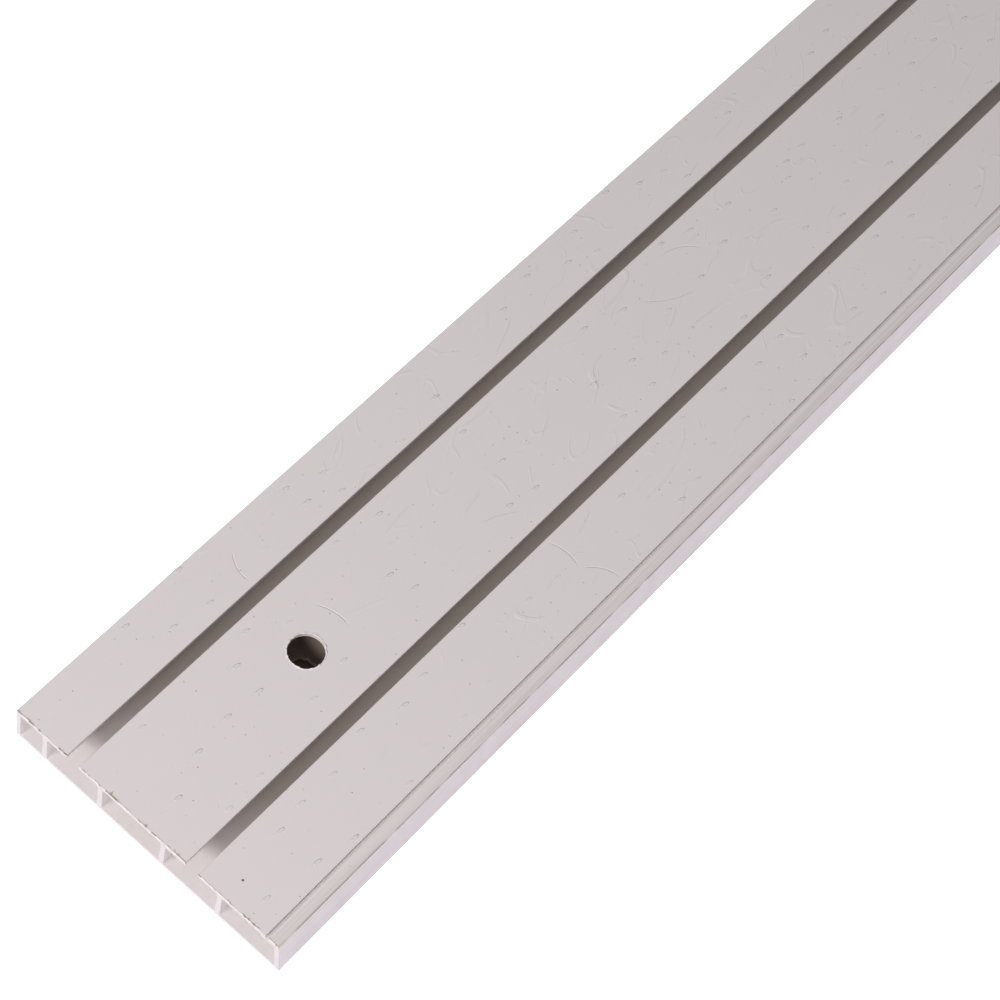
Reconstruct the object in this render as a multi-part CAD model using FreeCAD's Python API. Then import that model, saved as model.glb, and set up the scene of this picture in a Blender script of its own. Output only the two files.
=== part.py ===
import FreeCAD, Part
import math
import os

# Two-channel ceiling curtain track, one hollow plastic extrusion, in millimetres.
# The track lies on its ceiling plate with the curtain slots up.
# X runs along the track and Z comes out of the slotted plate.
# The plain edge is at +Y, the grooved edge that carries a fascia is at -Y.

LENGTH = 1200.0
WALL = 1.5                # both plates, the outer walls and the webs

# Hollows across the width, from the plain edge to the grooved edge.
PLAIN_HOLLOW = 7.7        # plain wall to the first channel's web
CHANNEL_WIDTH = 17.4      # room for a glider, in both channels
MIDDLE_HOLLOW = 19.7      # between the channels, holds the screw heads
CHANNEL_HEIGHT = 10.6     # between the two plates
SLOT_WIDTH = 4.2          # mouth that the curtain hooks hang through

# Grooved edge: a narrow groove that a fascia clips into, a flush rim, then a side wall that leans out.
GROOVE_START = 14.2       # second channel's web to the groove
GROOVE_WIDTH = 0.8
GROOVE_DEPTH = 1.2
GROOVE_FLOOR = 1.0        # plastic under the groove, where the edge is thicker than the plate
RIM_WIDTH = 3.6
WALL_LEAN = 1.5           # how far the base stands out beyond the rim

EDGE_RADIUS = 0.4         # outer long edges
MOUTH_RADIUS = 0.25       # edges of the slots
GROOVE_RADIUS = 0.15      # edges of the groove
ROOT_RADIUS = 0.6         # inside corners of the hollows
LARGEST_REACH = 0.45      # most of a side that the arc at one of its ends may take up

HOLE_COUNT = 4
END_MARGIN = 62.4         # end of the track to the first screw hole
ACCESS_DIAMETER = 10.0    # hole in the slotted plate, lets the screw head through
SCREW_DIAMETER = 7.6      # hole in the ceiling plate, the screw head bears round it

# Heights above the ceiling face.
face_under_z = WALL + CHANNEL_HEIGHT
face_z = face_under_z + WALL
groove_z = face_z - GROOVE_DEPTH
rim_under_z = groove_z - GROOVE_FLOOR

# Distances from the plain edge.
channel_1 = WALL + PLAIN_HOLLOW + WALL
middle_from = channel_1 + CHANNEL_WIDTH + WALL
middle_to = middle_from + MIDDLE_HOLLOW
channel_2 = middle_to + WALL
fascia_from = channel_2 + CHANNEL_WIDTH + WALL
groove = fascia_from + GROOVE_START
rim = groove + GROOVE_WIDTH
rim_edge = rim + RIM_WIDTH
base_edge = rim_edge + WALL_LEAN


def side_wall(height):
    """Distance from the plain edge to the outside of the leaning side wall."""
    return rim_edge + WALL_LEAN * (face_z - height) / face_z


def section_point(across, height):
    """Point of the section at the track's near end."""
    return FreeCAD.Vector(-LENGTH / 2, base_edge / 2 - across, height)


def rounded_wire(corners):
    """Closed wire through corners (across, height, radius), each rounded by a tangent arc."""
    points = [section_point(across, height) for across, height, radius in corners]
    arcs = []
    for i, (across, height, radius) in enumerate(corners):
        to_last = points[i - 1] - points[i]
        to_next = points[(i + 1) % len(points)] - points[i]
        half = to_last.getAngle(to_next) / 2
        shorter = min(to_last.Length, to_next.Length)
        to_last.normalize()
        to_next.normalize()
        reach = min(radius / math.tan(half), LARGEST_REACH * shorter)
        to_middle = reach / math.cos(half) - reach * math.tan(half)
        middle = points[i] + (to_last + to_next).normalize() * to_middle
        arcs.append((points[i] + to_last * reach, middle, points[i] + to_next * reach))
    edges = []
    for i, (start, middle, end) in enumerate(arcs):
        next_start = arcs[(i + 1) % len(arcs)][0]
        edges.append(Part.Arc(start, middle, end).toShape())
        edges.append(Part.LineSegment(end, next_start).toShape())
    return Part.Wire(edges)


def channel(side):
    """Corners of a C-shaped channel that starts at side, in through its slot and out again."""
    centre = side + CHANNEL_WIDTH / 2
    mouth = centre - SLOT_WIDTH / 2
    inward = [
        (mouth, face_z, MOUTH_RADIUS),
        (mouth, face_under_z, MOUTH_RADIUS),
        (side, face_under_z, ROOT_RADIUS),
        (side, WALL, ROOT_RADIUS),
    ]
    outward = [(2 * centre - across, height, radius) for across, height, radius in reversed(inward)]
    return inward + outward


def hollow(start, end):
    """Corners of a closed rectangular hollow between the two plates."""
    return [
        (start, WALL, ROOT_RADIUS),
        (start, face_under_z, ROOT_RADIUS),
        (end, face_under_z, ROOT_RADIUS),
        (end, WALL, ROOT_RADIUS),
    ]


# Outline: plain wall, slotted plate with its two channels, groove, rim and leaning side wall.
outline = [(0, 0, EDGE_RADIUS), (0, face_z, EDGE_RADIUS)]
outline += channel(channel_1)
outline += channel(channel_2)
outline += [
    (groove, face_z, GROOVE_RADIUS),
    (groove, groove_z, GROOVE_RADIUS),
    (rim, groove_z, GROOVE_RADIUS),
    (rim, face_z, GROOVE_RADIUS),
    (rim_edge, face_z, EDGE_RADIUS),
    (base_edge, 0, EDGE_RADIUS),
]

# The last hollow is lower under the groove and the rim, and ends at the leaning side wall.
fascia_hollow = [
    (fascia_from, WALL, ROOT_RADIUS),
    (fascia_from, face_under_z, ROOT_RADIUS),
    (groove - WALL, face_under_z, ROOT_RADIUS),
    (groove - WALL, rim_under_z, ROOT_RADIUS),
    (side_wall(rim_under_z) - WALL, rim_under_z, ROOT_RADIUS),
    (side_wall(WALL) - WALL, WALL, ROOT_RADIUS),
]
closed_hollows = [hollow(WALL, WALL + PLAIN_HOLLOW), hollow(middle_from, middle_to), fascia_hollow]

# Extrusion of the section along the track.
along = FreeCAD.Vector(LENGTH, 0, 0)
section = Part.Face([rounded_wire(outline)] + [rounded_wire(corners) for corners in closed_hollows])
section.validate()
track = section.extrude(along)

# Screw holes down the middle hollow: wide through the slotted plate, narrower through the ceiling plate.
up = FreeCAD.Vector(0, 0, 1)
hole_pitch = (LENGTH - 2 * END_MARGIN) / (HOLE_COUNT - 1)
for i in range(HOLE_COUNT):
    foot = section_point((middle_from + middle_to) / 2, 0)
    foot.x += END_MARGIN + i * hole_pitch
    screw_hole = Part.makeCylinder(SCREW_DIAMETER / 2, face_z, foot, up)
    access_hole = Part.makeCylinder(ACCESS_DIAMETER / 2, face_z, foot + up * (face_z / 2), up)
    track = track.cut(screw_hole.fuse(access_hole))

os.makedirs("parts", exist_ok=True)
track.exportStep("parts/track.step")
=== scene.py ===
import bpy
import math
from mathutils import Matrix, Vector


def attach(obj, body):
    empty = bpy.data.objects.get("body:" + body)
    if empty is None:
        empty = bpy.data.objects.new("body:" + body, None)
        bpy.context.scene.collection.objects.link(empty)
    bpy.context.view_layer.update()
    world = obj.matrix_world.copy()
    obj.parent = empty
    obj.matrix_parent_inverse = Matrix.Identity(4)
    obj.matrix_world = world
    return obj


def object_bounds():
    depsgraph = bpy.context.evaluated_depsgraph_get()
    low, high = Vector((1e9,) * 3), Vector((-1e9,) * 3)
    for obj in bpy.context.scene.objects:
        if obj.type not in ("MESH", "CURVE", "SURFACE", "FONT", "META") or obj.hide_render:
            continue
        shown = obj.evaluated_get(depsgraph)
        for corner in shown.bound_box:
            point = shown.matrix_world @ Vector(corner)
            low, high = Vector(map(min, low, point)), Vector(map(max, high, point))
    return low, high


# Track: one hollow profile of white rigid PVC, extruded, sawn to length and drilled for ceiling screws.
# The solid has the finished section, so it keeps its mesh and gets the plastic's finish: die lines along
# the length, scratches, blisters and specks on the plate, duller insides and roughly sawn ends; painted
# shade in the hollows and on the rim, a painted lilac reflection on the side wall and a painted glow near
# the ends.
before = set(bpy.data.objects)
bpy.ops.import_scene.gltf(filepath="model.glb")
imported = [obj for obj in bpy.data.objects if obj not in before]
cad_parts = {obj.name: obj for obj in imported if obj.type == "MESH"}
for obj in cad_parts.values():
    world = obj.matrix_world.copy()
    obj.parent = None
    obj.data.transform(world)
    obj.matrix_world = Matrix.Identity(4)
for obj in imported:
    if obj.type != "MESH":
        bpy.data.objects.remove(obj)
cad_low, cad_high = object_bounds()
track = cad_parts["track"]

MM = 0.001
END_X = cad_high.x
FACE_Z = cad_high.z
PLAIN_EDGE_Y = cad_high.y
BASE_EDGE_Y = cad_low.y
PLATE = 1.5 * MM                        # thickness of the slotted plate and of the ceiling plate
WALL_LEAN = 1.5 * MM                    # how far the base of the side wall stands out beyond the rim
RIM_WIDTH = 3.6 * MM
RIM_OUTER_Y = BASE_EDGE_Y + WALL_LEAN
RIM_INNER_Y = RIM_OUTER_Y + RIM_WIDTH
HOLE_Y = PLAIN_EDGE_Y - 39.45 * MM      # row of the screw holes, down the middle hollow


def plugged(tree, node, sockets, values):
    """Puts plain values or other nodes' outputs into a node's sockets."""
    for socket, value in zip(sockets, values):
        if isinstance(value, bpy.types.NodeSocket):
            tree.links.new(value, node.inputs[socket])
        else:
            node.inputs[socket].default_value = value
    return node


def calc(tree, operation, *values):
    """A Math node's result."""
    node = tree.nodes.new("ShaderNodeMath")
    node.operation = operation
    return plugged(tree, node, range(len(values)), values).outputs[0]


def within(tree, value, mask):
    """A mask or a height, kept only where another mask is 1."""
    return calc(tree, "MULTIPLY", value, mask)


def gap(tree, value, other):
    """How far apart two values are."""
    return calc(tree, "ABSOLUTE", calc(tree, "SUBTRACT", value, other))


def distance(tree, start, end):
    """How far one place is from another."""
    node = tree.nodes.new("ShaderNodeVectorMath")
    node.operation = "DISTANCE"
    return plugged(tree, node, (0, 1), (start, end)).outputs["Value"]


def axes(tree, vector):
    """The X, Y and Z of a vector."""
    return plugged(tree, tree.nodes.new("ShaderNodeSeparateXYZ"), (0,), (vector,)).outputs


def fade(tree, value, start, end):
    """0 at start, 1 at end, with a smooth step between them."""
    node = tree.nodes.new("ShaderNodeMapRange")
    node.interpolation_type = "SMOOTHSTEP"
    return plugged(tree, node, ("Value", "From Min", "From Max"), (value, start, end)).outputs["Result"]


def stretched(tree, vector, scale, turn=0.0):
    """Coordinates turned about the vertical axis and scaled, for patterns drawn out along the track."""
    node = tree.nodes.new("ShaderNodeMapping")
    sockets = ("Vector", "Rotation", "Scale")
    return plugged(tree, node, sockets, (vector, (0.0, 0.0, turn), scale)).outputs["Vector"]


def noise(tree, vector, scale, detail=0.0, dimensions="2D"):
    """A noise pattern between 0 and 1, over x and y unless it is to fill space."""
    node = tree.nodes.new("ShaderNodeTexNoise")
    node.noise_dimensions = dimensions
    return plugged(tree, node, ("Vector", "Scale", "Detail"), (vector, scale, detail)).outputs["Fac"]


def strewn(tree, vector, pitch):
    """Points strewn about a pitch apart, as a Voronoi node, and a chance between 0 and 1 for each."""
    cells = tree.nodes.new("ShaderNodeTexVoronoi")
    cells.voronoi_dimensions = "2D"
    plugged(tree, cells, ("Vector", "Scale"), (vector, 1 / pitch))
    chance = plugged(tree, tree.nodes.new("ShaderNodeSeparateColor"), (0,), (cells.outputs["Color"],))
    return cells, chance.outputs["Red"]


def mixed(tree, blend, mask, colour, other):
    """A colour blended with another where the mask is 1."""
    node = tree.nodes.new("ShaderNodeMix")
    node.data_type = "RGBA"
    node.blend_type = blend
    factor, first, second = 0, 6, 7
    return plugged(tree, node, (factor, first, second), (mask, colour, other)).outputs[2]


def new_group(name, inputs, output):
    """An empty shader node group that puts out one number, and its input and output nodes."""
    group = bpy.data.node_groups.new(name, "ShaderNodeTree")
    for socket, kind in inputs.items():
        group.interface.new_socket(socket, in_out="INPUT", socket_type=kind)
    group.interface.new_socket(output, in_out="OUTPUT", socket_type="NodeSocketFloat")
    return group, group.nodes.new("NodeGroupInput").outputs, group.nodes.new("NodeGroupOutput").inputs


def placed(tree, group, values):
    """What a group puts out in a tree, with its inputs by name."""
    node = tree.nodes.new("ShaderNodeGroup")
    node.node_tree = group
    return plugged(tree, node, values.keys(), values.values()).outputs[0]


# One scratch: a thin arc on the plate, part of a circle, that fades out at both ends.
SCRATCH_HALF_WIDTH = 0.22 * MM
SCRATCH_FULL = 0.6                      # share of its half length over which it keeps its full depth
scratch_inputs = {
    "Place": "NodeSocketVector",
    "Centre": "NodeSocketVector",
    "Radius": "NodeSocketFloat",
    "Middle": "NodeSocketVector",
    "Half Length": "NodeSocketFloat",
}
scratch, given, result = new_group("scratch", scratch_inputs, "Line")
aside = gap(scratch, distance(scratch, given["Place"], given["Centre"]), given["Radius"])
aside = fade(scratch, aside, SCRATCH_HALF_WIDTH, 0.0)
away = distance(scratch, given["Place"], given["Middle"])
away = calc(scratch, "DIVIDE", away, given["Half Length"])
away = fade(scratch, away, 1.0, SCRATCH_FULL)
scratch.links.new(within(scratch, aside, away), result["Line"])

# Blisters: small raised drops with a thin tail, all drawn out the same way along the track.
BLISTER_PITCH = 12.0 * MM
BLISTER_TURN = math.radians(-10)
HEAD_HALF_LENGTH = 1.4 * MM
HEAD_HALF_WIDTH = 0.48 * MM
HEAD_SLOPE = (1.0, 0.45)                # from the foot of a drop to its flat top
TAIL_HALF_WIDTH = 0.22 * MM
TAIL_RISE = (-3.8 * MM, -1.0 * MM)      # from its tip, along the drop, measured from the head's middle
TAIL_JOIN = (-0.2 * MM, -0.8 * MM)      # where it runs out into the head
TAIL_HEIGHT = 0.5                       # against the head's
BLISTER_CHANCE = (0.15, 0.8)            # below the first there is no drop, above the second a full one
blisters, given, result = new_group("blisters", {"Place": "NodeSocketVector"}, "Height")
cells, chance = strewn(blisters, given["Place"], BLISTER_PITCH)
offset = blisters.nodes.new("ShaderNodeVectorMath")
offset.operation = "SUBTRACT"
plugged(blisters, offset, (0, 1), (given["Place"], cells.outputs["Position"]))
turned = blisters.nodes.new("ShaderNodeVectorRotate")
turned.rotation_type = "Z_AXIS"
plugged(blisters, turned, ("Vector", "Angle"), (offset.outputs[0], -BLISTER_TURN))
along, across = axes(blisters, turned.outputs[0])[:2]
head_x = calc(blisters, "DIVIDE", along, HEAD_HALF_LENGTH)
head_y = calc(blisters, "DIVIDE", across, HEAD_HALF_WIDTH)
head = calc(blisters, "MULTIPLY_ADD", head_x, head_x, calc(blisters, "MULTIPLY", head_y, head_y))
head = fade(blisters, head, *HEAD_SLOPE)
tail = fade(blisters, calc(blisters, "ABSOLUTE", across), TAIL_HALF_WIDTH, 0.0)
tail = within(blisters, tail, fade(blisters, along, *TAIL_RISE))
tail = within(blisters, tail, fade(blisters, along, *TAIL_JOIN))
drop = calc(blisters, "MULTIPLY_ADD", tail, TAIL_HEIGHT, head)
drop = within(blisters, drop, fade(blisters, chance, *BLISTER_CHANCE))
blisters.links.new(drop, result["Height"])

# Specks: tiny dark grains that stand out of the plate.
SPECK_PITCH = 3.6 * MM
SPECK_EDGE = (0.08, 0.035)              # shares of the pitch, from a grain's foot to its top
SPECK_CHANCE = (0.55, 1.0)
specks, given, result = new_group("specks", {"Place": "NodeSocketVector"}, "Mask")
cells, chance = strewn(specks, given["Place"], SPECK_PITCH)
dot = fade(specks, cells.outputs["Distance"], *SPECK_EDGE)
dot = within(specks, dot, fade(specks, chance, *SPECK_CHANCE))
specks.links.new(dot, result["Mask"])

# Hairlines: fine wandering creases, broken into short runs. Waves are counted in one metre along each axis.
HAIRLINE_WAVES = (30.0, 75.0, 75.0)
HAIRLINE_TURN = 0.2
HAIRLINE_EDGE = (0.018, 0.011)          # distance from the middle of the waves
RUN_WAVES = (70.0, 110.0, 110.0)
RUN_TURN = 0.4
RUN_EDGE = (0.56, 0.68)
hairlines, given, result = new_group("hairlines", {"Place": "NodeSocketVector"}, "Line")
waves = noise(hairlines, stretched(hairlines, given["Place"], HAIRLINE_WAVES, HAIRLINE_TURN), 1.0)
crease = fade(hairlines, gap(hairlines, waves, 0.5), *HAIRLINE_EDGE)
runs = noise(hairlines, stretched(hairlines, given["Place"], RUN_WAVES, RUN_TURN), 1.0)
crease = within(hairlines, crease, fade(hairlines, runs, *RUN_EDGE))
hairlines.links.new(crease, result["Line"])

# White PVC, first the masks for the plate, the rim, the side wall, the insides and the sawn ends.
ROUNDING = 0.3 * MM                     # reach of the rounded edges
FLAT = 0.1 * MM
SAW_SKIN = 0.01 * MM
MID_WALL = 0.7 * MM                     # about half the thickness of a wall
DULL_SHADED_INSIDE = (2.0 * MM, 40.0 * MM)     # from a sawn end
GLOW_DEPTH = 25.0 * MM                  # how far in from a sawn end the painted glow on the hollows' walls reaches
SCREW_HOLLOW_HALF_WIDTH = 10.0 * MM
RIM_SHADE_INSET = 0.5 * MM
pvc = bpy.data.materials.new("white_pvc")
pvc.use_nodes = True
tree = pvc.node_tree
pvc_shader = tree.nodes["Principled BSDF"]
place = tree.nodes.new("ShaderNodeTexCoord").outputs["Object"]
x, y, z = axes(tree, place)
from_end = calc(tree, "SUBTRACT", END_X, calc(tree, "ABSOLUTE", x))
on_plate = fade(tree, z, FACE_Z - ROUNDING, FACE_Z - FLAT)
sawn = calc(tree, "LESS_THAN", from_end, SAW_SKIN)
side = calc(tree, "MULTIPLY_ADD", z, -WALL_LEAN / FACE_Z, y)      # y, with the wall's lean taken out

hollow = fade(tree, z, FACE_Z - PLATE - ROUNDING, FACE_Z - PLATE - MID_WALL)
hollow = within(tree, hollow, calc(tree, "GREATER_THAN", z, MID_WALL))
hollow = within(tree, hollow, calc(tree, "GREATER_THAN", side, BASE_EDGE_Y + MID_WALL))
hollow = within(tree, hollow, calc(tree, "LESS_THAN", y, PLAIN_EDGE_Y - MID_WALL))
# Insides: rougher, and painted shade, darker and warmer from 2 mm to 40 mm in from a sawn end.
dull_shaded_inside = within(tree, hollow, fade(tree, from_end, *DULL_SHADED_INSIDE))
# Painted shade: the middle hollow under the screw holes is darkened further.
screw_hollow_shade = calc(tree, "LESS_THAN", gap(tree, y, HOLE_Y), SCREW_HOLLOW_HALF_WIDTH)
screw_hollow_shade = within(tree, screw_hollow_shade, dull_shaded_inside)
# Painted light: walls of the hollows that face sideways glow near a sawn end.
normal = tree.nodes.new("ShaderNodeNewGeometry").outputs["Normal"]
painted_glow = within(tree, calc(tree, "ABSOLUTE", axes(tree, normal)["Y"]), hollow)
painted_glow = within(tree, painted_glow, fade(tree, from_end, GLOW_DEPTH, 0.0))

wall = calc(tree, "LESS_THAN", side, BASE_EDGE_Y + ROUNDING)
wall = within(tree, wall, fade(tree, z, FACE_Z - ROUNDING, FACE_Z - 2 * ROUNDING))
# Painted shade: the rim darker towards its outer edge.
rim_shade = within(tree, fade(tree, y, RIM_INNER_Y - RIM_SHADE_INSET, RIM_OUTER_Y), on_plate)

# Patterns of the extruded skin, of its wear and of the saw, in waves a metre, per axis where drawn out.
DIE_LINES = 1500.0
SAW_TEETH = 900.0
PATCHES = 130.0
SKIN_GRAIN = 2600.0
CLOUDS = (14.0, 60.0, 60.0)
DRAG_LINES = (28.0, 1900.0, 1900.0)
SCUFFS = (160.0, 700.0, 700.0)
section = plugged(tree, tree.nodes.new("ShaderNodeCombineXYZ"), (0, 1), (y, z)).outputs[0]
die_lines = noise(tree, section, DIE_LINES, 1.0)
ragged = noise(tree, section, SAW_TEETH, 1.0)
patches = noise(tree, place, PATCHES, 1.0)
skin_grain = noise(tree, place, SKIN_GRAIN)
clouds = noise(tree, stretched(tree, place, CLOUDS), 1.0, 2.0)
drag_lines = noise(tree, stretched(tree, place, DRAG_LINES), 1.0, 1.0, "3D")
scuffs = noise(tree, stretched(tree, place, SCUFFS, BLISTER_TURN), 1.0, 1.0)

# Scratches on the slotted plate: middle x and y, length, turn from the track's length in degrees, bow.
SCRATCHES_MM = [
    (-531.6, 33.7, 9.8, -110, -1.3),
    (-525.7, 7.7, 11.7, -80, 1.3),
    (-371.8, 15.2, 14.5, -30, 2.0),
    (-384.8, 9.1, 20.0, -28, -1.9),
    (-469.5, -23.0, 11.5, -88, 1.4),
    (-466.4, -33.6, 11.3, -59, 1.6),
]
scratches = 0.0
for middle_x, middle_y, length, turn, bow in SCRATCHES_MM:
    half = length / 2 * MM
    bend = abs(bow) * MM
    radius = (half * half + bend * bend) / (2 * bend)
    to_centre = math.radians(turn - math.copysign(90, bow))
    aim = Vector((math.cos(to_centre), math.sin(to_centre), 0.0))
    middle = Vector((middle_x * MM, middle_y * MM, FACE_Z))
    values = {
        "Place": place,
        "Centre": middle + aim * (radius - bend),
        "Radius": radius,
        "Middle": middle,
        "Half Length": half,
    }
    scratches = calc(tree, "MAXIMUM", scratches, placed(tree, scratch, values))

# Dirt: specks in patches, grime along the sawn edge, drag lines and one dark grain; and a painted shade
# line along the rim's outer edge.
SPECK_PATCHES = (0.38, 0.6)
GRIME_REACH = 0.55 * MM
GRIME_EDGE = (0.25 * MM, 0.5 * MM)
GRIME_PATCHES = (0.5, 0.62)
EDGE_SHADE_INSET = 0.1 * MM
EDGE_SHADE_FADE = (0.2 * MM, 0.08 * MM)
EDGE_SHADE_PATCHES = (0.25, 0.55)
DRAG_CONTRAST = (0.45, 0.7)
SPOT_PLACE = (-593.5 * MM, -25.4 * MM, FACE_Z)
SPOT_EDGE = (0.416 * MM, 0.224 * MM)    # from the dark grain's middle
grains = within(tree, placed(tree, specks, {"Place": place}), fade(tree, patches, *SPECK_PATCHES))
grime = calc(tree, "SUBTRACT", GRIME_REACH, calc(tree, "MULTIPLY", from_end, ragged))
grime = within(tree, fade(tree, grime, *GRIME_EDGE), on_plate)
grime = within(tree, grime, fade(tree, patches, *GRIME_PATCHES))
# Painted shade: a dark line along the rim's outer edge, broken into patches.
rim_edge_shade = fade(tree, gap(tree, y, RIM_OUTER_Y + EDGE_SHADE_INSET), *EDGE_SHADE_FADE)
rim_edge_shade = within(tree, rim_edge_shade, fade(tree, patches, *EDGE_SHADE_PATCHES))
rim_edge_shade = within(tree, rim_edge_shade, calc(tree, "GREATER_THAN", z, FACE_Z - MID_WALL))
dragged = within(tree, on_plate, calc(tree, "LESS_THAN", y, RIM_INNER_Y))
dragged = calc(tree, "MAXIMUM", dragged, wall)
dragged = within(tree, dragged, fade(tree, drag_lines, *DRAG_CONTRAST))
spot = fade(tree, distance(tree, place, SPOT_PLACE), *SPOT_EDGE)

# Colour: streaked white, multiplied by a tint wherever a mask says so.
PVC_COLOUR = (0.630, 0.580, 0.579, 1.0)
PVC_CLOUD = (0.610, 0.564, 0.562, 1.0)
tints = [
    # painted shade on the rim
    (rim_shade, (0.92, 0.918, 0.908, 1.0)),
    # painted shade line on the rim's outer edge
    (rim_edge_shade, (0.55, 0.52, 0.50, 1.0)),
    # painted reflected light: the side wall tinted lilac
    (wall, (0.99, 0.955, 1.038, 1.0)),
    (dragged, (0.92, 0.915, 0.915, 1.0)),
    # painted shade inside the hollows
    (dull_shaded_inside, (0.80, 0.75, 0.69, 1.0)),
    # painted shade in the middle hollow
    (screw_hollow_shade, (0.88, 0.78, 0.75, 1.0)),
    (sawn, (0.80, 0.79, 0.82, 1.0)),
    (grime, (0.52, 0.40, 0.30, 1.0)),
    (spot, (0.10, 0.08, 0.07, 1.0)),
    (within(tree, grains, on_plate), (0.76, 0.75, 0.74, 1.0)),
]
streaks = calc(tree, "MULTIPLY", calc(tree, "ADD", die_lines, clouds), 0.5)
colour = mixed(tree, "MIX", streaks, PVC_COLOUR, PVC_CLOUD)
for mask, tint in tints:
    colour = mixed(tree, "MULTIPLY", mask, colour, tint)
tree.links.new(colour, pvc_shader.inputs["Base Color"])

# Gloss, and a painted glow: light painted onto the walls of the hollows near a sawn end.
SKIN_ROUGHNESS = 0.36
SCUFF_ROUGHNESS = 0.16                  # at most, on top of the skin's own
SAWN_ROUGHNESS = 0.9
INSIDE_ROUGHNESS = 0.6
NO_GLOW = (0.0, 0.0, 0.0, 1.0)
PAINTED_WALL_GLOW = (0.12, 0.113, 0.125, 1.0)
roughness = calc(tree, "MULTIPLY_ADD", scuffs, SCUFF_ROUGHNESS, SKIN_ROUGHNESS)
roughness = calc(tree, "MAXIMUM", roughness, calc(tree, "MULTIPLY", sawn, SAWN_ROUGHNESS))
roughness = calc(tree, "MAXIMUM", roughness, calc(tree, "MULTIPLY", dull_shaded_inside, INSIDE_ROUGHNESS))
tree.links.new(roughness, pvc_shader.inputs["Roughness"])
pvc_shader.inputs["Specular IOR Level"].default_value = 0.4
glow = mixed(tree, "MIX", painted_glow, NO_GLOW, PAINTED_WALL_GLOW)
tree.links.new(glow, pvc_shader.inputs["Emission Color"])
pvc_shader.inputs["Emission Strength"].default_value = 1.0
pvc.cycles.emission_sampling = "NONE"

# Relief, with heights in millimetres, so the bump's distance is one millimetre.
HAIRLINE_HEIGHT = 0.06
FINE_HAIRLINE_HEIGHT = 0.036
FINE_SCALE = (1.6, 1.6, 1.6)
FINE_TURN = -0.5
HAIRLINE_START = (40.0 * MM, 130.0 * MM)        # from a sawn end
BLISTER_HEIGHT = 0.132
SPECK_HEIGHT = 0.08
SCRATCH_HEIGHT = -0.09
SKIN_GRAIN_HEIGHT = 0.004
DIE_LINE_HEIGHT = 0.004
SAW_TOOTH_HEIGHT = 0.08
creases = placed(tree, hairlines, {"Place": place})
fine_place = stretched(tree, place, FINE_SCALE, FINE_TURN)
fine_creases = placed(tree, hairlines, {"Place": fine_place})
drops = placed(tree, blisters, {"Place": place})
relief = calc(tree, "MULTIPLY", creases, HAIRLINE_HEIGHT)
relief = calc(tree, "MULTIPLY_ADD", fine_creases, FINE_HAIRLINE_HEIGHT, relief)
relief = within(tree, relief, fade(tree, from_end, *HAIRLINE_START))
relief = calc(tree, "MULTIPLY_ADD", drops, BLISTER_HEIGHT, relief)
relief = calc(tree, "MULTIPLY_ADD", grains, SPECK_HEIGHT, relief)
relief = within(tree, relief, calc(tree, "GREATER_THAN", y, RIM_INNER_Y))
relief = calc(tree, "MULTIPLY_ADD", scratches, SCRATCH_HEIGHT, relief)
relief = calc(tree, "MULTIPLY_ADD", skin_grain, SKIN_GRAIN_HEIGHT, relief)
relief = within(tree, relief, on_plate)
relief = calc(tree, "MULTIPLY_ADD", die_lines, DIE_LINE_HEIGHT, relief)
relief = calc(tree, "MULTIPLY_ADD", within(tree, ragged, sawn), SAW_TOOTH_HEIGHT, relief)
bump = tree.nodes.new("ShaderNodeBump")
bump.inputs["Distance"].default_value = MM
tree.links.new(relief, bump.inputs["Height"])
tree.links.new(bump.outputs["Normal"], pvc_shader.inputs["Normal"])
track.data.materials.clear()
track.data.materials.append(pvc)

# Access hole burrs: plastic that the drill pushed up round each wide hole in the slotted plate.
# The track's own PVC, torn, paler and rough, browner in patches low in the holes and with brown dirt at the
# sawn ends.
# Each is a thin ring, half of it sunk into the plate, that bulges and thins out irregularly.
HOLE_COUNT = 4
END_MARGIN = 62.4 * MM                  # end of the track to the first screw hole
ACCESS_RADIUS = 5.0 * MM
ACCESS_SINK = 0.04 * MM                 # middle of the ring under the plate's face
ACCESS_LIP = 0.1 * MM                   # middle of the ring outside the hole's edge
ACCESS_THICKNESS = 0.2 * MM
ACCESS_TEAR = 0.55 * MM
RING_SEGMENTS = 144
RING_SIDES = 8
RING_GRAIN = 0.9 * MM

TORN_COLOUR = (0.70, 0.655, 0.66, 1.0)
TORN_DIRT = (0.30, 0.22, 0.17, 1.0)
HOLE_BROWN = (0.75, 0.56, 0.44, 1.0)
FOLDS = 1400.0                          # in waves a metre, as the next two
END_DIRT_PATCHES = 420.0
HOLE_BROWN_PATCHES = 900.0
END_DIRT_EDGE = (0.52, 0.62)
HOLE_BROWN_EDGE = (0.35, 0.6)
END_DIRT_REACH = (END_X - 4.0 * MM, END_X - 2.0 * MM)
HOLE_BROWN_REACH = (6.0 * MM, 4.0 * MM)  # heights above the ceiling face
torn_pvc = bpy.data.materials.new("torn_pvc")
torn_pvc.use_nodes = True
tree = torn_pvc.node_tree
torn_shader = tree.nodes["Principled BSDF"]
place = tree.nodes.new("ShaderNodeTexCoord").outputs["Object"]
spread = axes(tree, place)
folds = noise(tree, place, FOLDS, 2.0, "3D")
end_dirt = fade(tree, noise(tree, place, END_DIRT_PATCHES, 1.0, "3D"), *END_DIRT_EDGE)
end_dirt = within(tree, end_dirt, fade(tree, calc(tree, "ABSOLUTE", spread["X"]), *END_DIRT_REACH))
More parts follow.
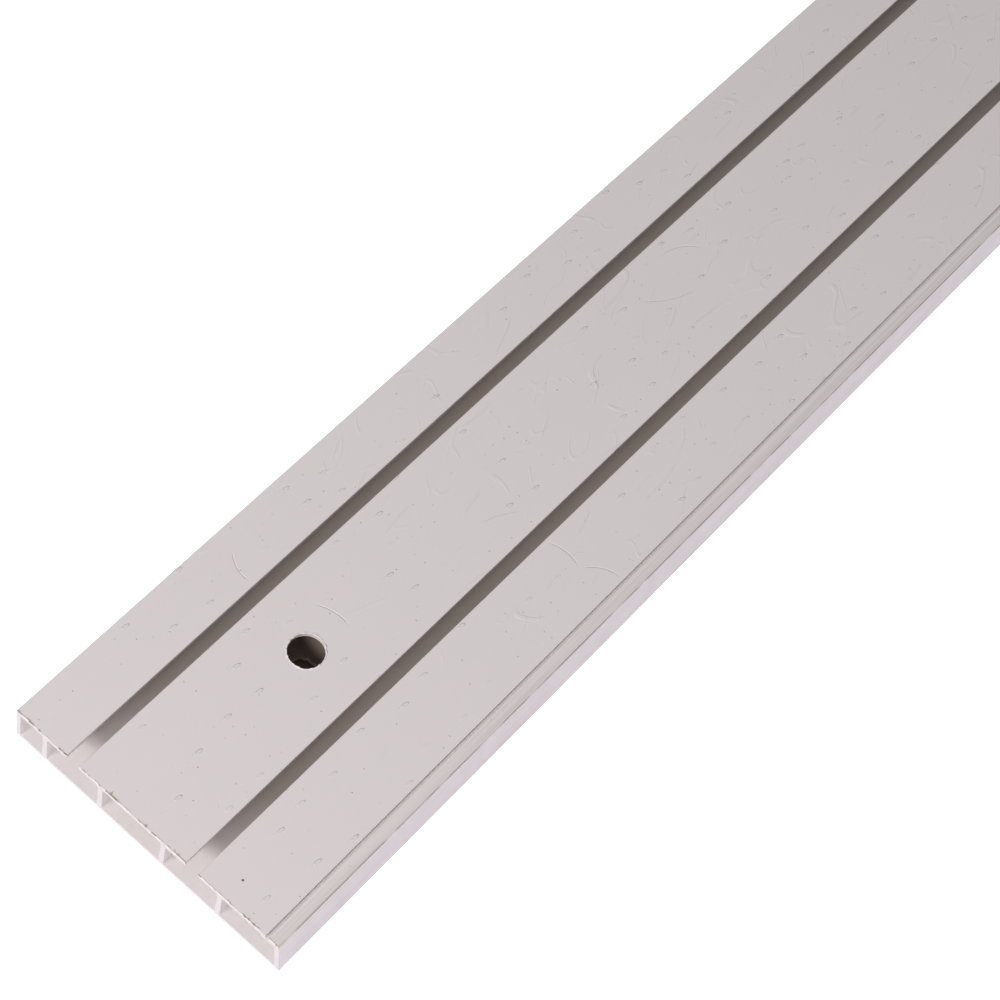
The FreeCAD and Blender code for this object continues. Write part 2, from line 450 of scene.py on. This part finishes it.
# Brown patches below 6 mm over the ceiling face, in the holes.
hole_brown = fade(tree, noise(tree, place, HOLE_BROWN_PATCHES, 1.0, "3D"), *HOLE_BROWN_EDGE)
hole_brown = within(tree, hole_brown, fade(tree, spread["Z"], *HOLE_BROWN_REACH))
colour = mixed(tree, "MIX", folds, TORN_COLOUR, PVC_COLOUR)
colour = mixed(tree, "MIX", end_dirt, colour, TORN_DIRT)
colour = mixed(tree, "MIX", hole_brown, colour, HOLE_BROWN)
tree.links.new(colour, torn_shader.inputs["Base Color"])
torn_shader.inputs["Roughness"].default_value = 0.7
torn_shader.inputs["Specular IOR Level"].default_value = 0.15


def roughened(piece, tear, grain):
    """Pushes a piece's surface in and out by a cloud pattern, as torn plastic, and shades it smooth."""
    pattern = bpy.data.textures.new(piece.name + "_tears", "CLOUDS")
    pattern.noise_scale = grain
    push = piece.modifiers.new("tears", "DISPLACE")
    push.texture = pattern
    push.texture_coords = "LOCAL"
    push.strength = tear
    bpy.ops.object.modifier_apply(modifier=push.name)
    bpy.ops.object.shade_smooth()


def torn_ring(x, height, radius, thickness, tear):
    """A ring of torn plastic round a drilled hole."""
    bpy.ops.object.select_all(action="DESELECT")
    bpy.ops.mesh.primitive_torus_add(
        major_radius=radius,
        minor_radius=thickness,
        major_segments=RING_SEGMENTS,
        minor_segments=RING_SIDES,
        location=(x, HOLE_Y, height),
    )
    ring = bpy.context.object
    bpy.ops.object.transform_apply(location=True, rotation=True, scale=True)
    roughened(ring, tear, RING_GRAIN)
    return ring


def one_piece(name, parts):
    """Joins parts into one named piece of torn PVC, with its origin at the track's."""
    bpy.ops.object.select_all(action="DESELECT")
    for part in parts:
        part.select_set(True)
    bpy.context.view_layer.objects.active = parts[0]
    bpy.ops.object.join()
    piece = bpy.context.object
    piece.name = name
    bpy.ops.object.origin_set(type="ORIGIN_CURSOR")
    piece.data.materials.append(torn_pvc)
    return piece


hole_pitch = 2 * (END_X - END_MARGIN) / (HOLE_COUNT - 1)
hole_places = [END_MARGIN - END_X + i * hole_pitch for i in range(HOLE_COUNT)]
access_z = FACE_Z - ACCESS_SINK
access_radius = ACCESS_RADIUS + ACCESS_LIP
rings = [torn_ring(x, access_z, access_radius, ACCESS_THICKNESS, ACCESS_TEAR) for x in hole_places]
access_hole_burrs = one_piece("access_hole_burrs", rings)
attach(access_hole_burrs, "root")

# Screw hole burrs: ragged edges that the drill left on the ceiling plate, inside the middle hollow.
# The track's own PVC, torn and browner in patches low in the hole; each is a thicker, rougher ring round
# the narrow hole.
SCREW_RADIUS = 3.8 * MM
SCREW_THICKNESS = 0.4 * MM
SCREW_TEAR = 0.9 * MM
rings = [torn_ring(x, PLATE, SCREW_RADIUS, SCREW_THICKNESS, SCREW_TEAR) for x in hole_places]
screw_hole_burrs = one_piece("screw_hole_burrs", rings)
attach(screw_hole_burrs, "root")

# Saw burrs: a fringe of melted chips that the saw left along the slotted plate's cut edges.
# The track's own PVC, torn and dirty; each is a thin rod on the edge, roughened until it breaks up.
FRINGE_SIDES = 8
FRINGE_RADIUS = 0.1 * MM
FRINGE_INSET = 0.06 * MM                # middle of the rod inside the sawn end
FRINGE_SINK = 0.05 * MM                 # middle of the rod under the plate's face
FRINGE_TEAR = 0.5 * MM
FRINGE_GRAIN = 1.1 * MM
CUTS_PER_MM = 5

# Low and high y of the plate's stretches between its edge, the slots, the groove and the side wall.
PLATE_SPANS_MM = [(27.6, 44.2), (-12.5, 23.4), (-38.8, -16.7), (-43.1, -40.0)]


def saw_fringe(end, low, high):
    """A rod along the plate's cut edge from low to high, cut across many times and roughened."""
    bpy.ops.object.select_all(action="DESELECT")
    bpy.ops.mesh.primitive_cylinder_add(
        vertices=FRINGE_SIDES,
        radius=FRINGE_RADIUS,
        depth=(high - low) * MM,
        location=(end * (END_X - FRINGE_INSET), (low + high) / 2 * MM, FACE_Z - FRINGE_SINK),
        rotation=(math.radians(90), 0.0, 0.0),
    )
    fringe = bpy.context.object
    bpy.ops.object.transform_apply(location=True, rotation=True, scale=True)
    bpy.ops.object.mode_set(mode="EDIT")
    bpy.ops.mesh.select_mode(type="EDGE")
    bpy.ops.mesh.select_all(action="DESELECT")
    bpy.ops.object.mode_set(mode="OBJECT")
    for edge in fringe.data.edges:
        start, stop = (fringe.data.vertices[i].co for i in edge.vertices)
        edge.select = abs(start.y - stop.y) > FRINGE_RADIUS * 2
    bpy.ops.object.mode_set(mode="EDIT")
    bpy.ops.mesh.subdivide(number_cuts=int((high - low) * CUTS_PER_MM))
    bpy.ops.object.mode_set(mode="OBJECT")
    roughened(fringe, FRINGE_TEAR, FRINGE_GRAIN)
    return fringe


fringes = [saw_fringe(end, low, high) for end in (-1, 1) for low, high in PLATE_SPANS_MM]
saw_burrs = one_piece("saw_burrs", fringes)
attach(saw_burrs, "root")

# Studio: a white table under the track, a pale room, a broad lamp over the near end, a weak one at the side
# and the camera at the photograph's view. The table and the room are white where they are seen or mirrored,
# and only pale as light. Under the track the table has a painted brown shadow, which shows through the
# screw holes.
WHITE = (1.0, 1.0, 1.0, 1.0)
TABLE_PAINT = (0.86, 0.86, 0.86, 1.0)
# painted shadow: warm brown on the table under the track
UNDER_TRACK_SHADE = (0.45, 0.31, 0.23, 1.0)
TABLE_SIZE = 12.0
TABLE_DROP = 0.2 * MM
TUCK = 1.0 * MM                         # how far the white of the table reaches under the track
TABLE_AS_LIGHT = 0.40
TABLE_AS_SEEN = 0.78
ROOM_AS_LIGHT = 0.23
ROOM_AS_SEEN = 1.0


def background_level(tree, as_light, as_seen):
    """A strength that differs for rays that show a background: straight, mirrored or passed on."""
    path = tree.nodes.new("ShaderNodeLightPath")
    mirrored = calc(tree, "MAXIMUM", path.outputs["Is Glossy Ray"], path.outputs["Is Transmission Ray"])
    seen = calc(tree, "MAXIMUM", path.outputs["Is Camera Ray"], mirrored)
    level = tree.nodes.new("ShaderNodeMapRange")
    return plugged(tree, level, ("Value", "To Min", "To Max"), (seen, as_light, as_seen)).outputs["Result"]


bpy.ops.object.select_all(action="DESELECT")
bpy.ops.mesh.primitive_plane_add(size=TABLE_SIZE, location=(0.0, 0.0, -TABLE_DROP))
floor = bpy.context.object
floor.name = "table"
white_table = bpy.data.materials.new("white_table")
white_table.use_nodes = True
tree = white_table.node_tree
tree.nodes.clear()
x, y = axes(tree, tree.nodes.new("ShaderNodeTexCoord").outputs["Object"])[:2]
past_end = calc(tree, "GREATER_THAN", calc(tree, "ABSOLUTE", x), END_X - TUCK)
past_side = calc(tree, "GREATER_THAN", calc(tree, "ABSOLUTE", y), PLAIN_EDGE_Y - TUCK)
open_table = calc(tree, "MAXIMUM", past_end, past_side)
shade = mixed(tree, "MIX", open_table, UNDER_TRACK_SHADE, TABLE_PAINT)
paint = plugged(tree, tree.nodes.new("ShaderNodeBsdfDiffuse"), ("Color",), (shade,))
strength = within(tree, background_level(tree, TABLE_AS_LIGHT, TABLE_AS_SEEN), open_table)
shine = plugged(tree, tree.nodes.new("ShaderNodeEmission"), ("Color", "Strength"), (WHITE, strength))
add = plugged(tree, tree.nodes.new("ShaderNodeAddShader"), (0, 1), (paint.outputs[0], shine.outputs[0]))
plugged(tree, tree.nodes.new("ShaderNodeOutputMaterial"), ("Surface",), (add.outputs[0],))
floor.data.materials.append(white_table)

world = bpy.data.worlds.new("pale_room")
bpy.context.scene.world = world
world.use_nodes = True
tree = world.node_tree
strength = background_level(tree, ROOM_AS_LIGHT, ROOM_AS_SEEN)
plugged(tree, tree.nodes["Background"], ("Color", "Strength"), (WHITE, strength))


def soft_lamp(name, place, target, width, height, energy):
    """An oval lamp at a place, aimed at a target."""
    bpy.ops.object.light_add(type="AREA", location=place)
    lamp = bpy.context.object
    lamp.name = name
    lamp.data.shape = "ELLIPSE"
    lamp.data.size = width
    lamp.data.size_y = height
    lamp.data.energy = energy
    lamp.rotation_euler = (Vector(target) - lamp.location).to_track_quat("-Z", "Y").to_euler()


soft_lamp(
    "near_end_lamp",
    place=(-1.95, 0.02, 1.3),
    target=(-0.5, 0.0, 0.0),
    width=1.6,
    height=0.5,
    energy=45.0,
)
soft_lamp(
    "side_lamp",
    place=(0.1, -1.3, 0.35),
    target=(-0.3, 0.0, 0.0),
    width=0.7,
    height=0.7,
    energy=1.3,
)

CAMERA_PLACE = (-0.80786, -0.1637, 0.65297)
CAMERA_TURN_DEGREES = (29.2985, -8.7455, -49.1339)
CAMERA_LENS = 101.499
CAMERA_SENSOR = 36.0
camera_turn = [math.radians(angle) for angle in CAMERA_TURN_DEGREES]
bpy.ops.object.camera_add(location=CAMERA_PLACE, rotation=camera_turn)
camera = bpy.context.object
camera.data.lens = CAMERA_LENS
camera.data.sensor_width = CAMERA_SENSOR
bpy.context.scene.camera = camera
bpy.context.scene.view_settings.view_transform = "Standard"
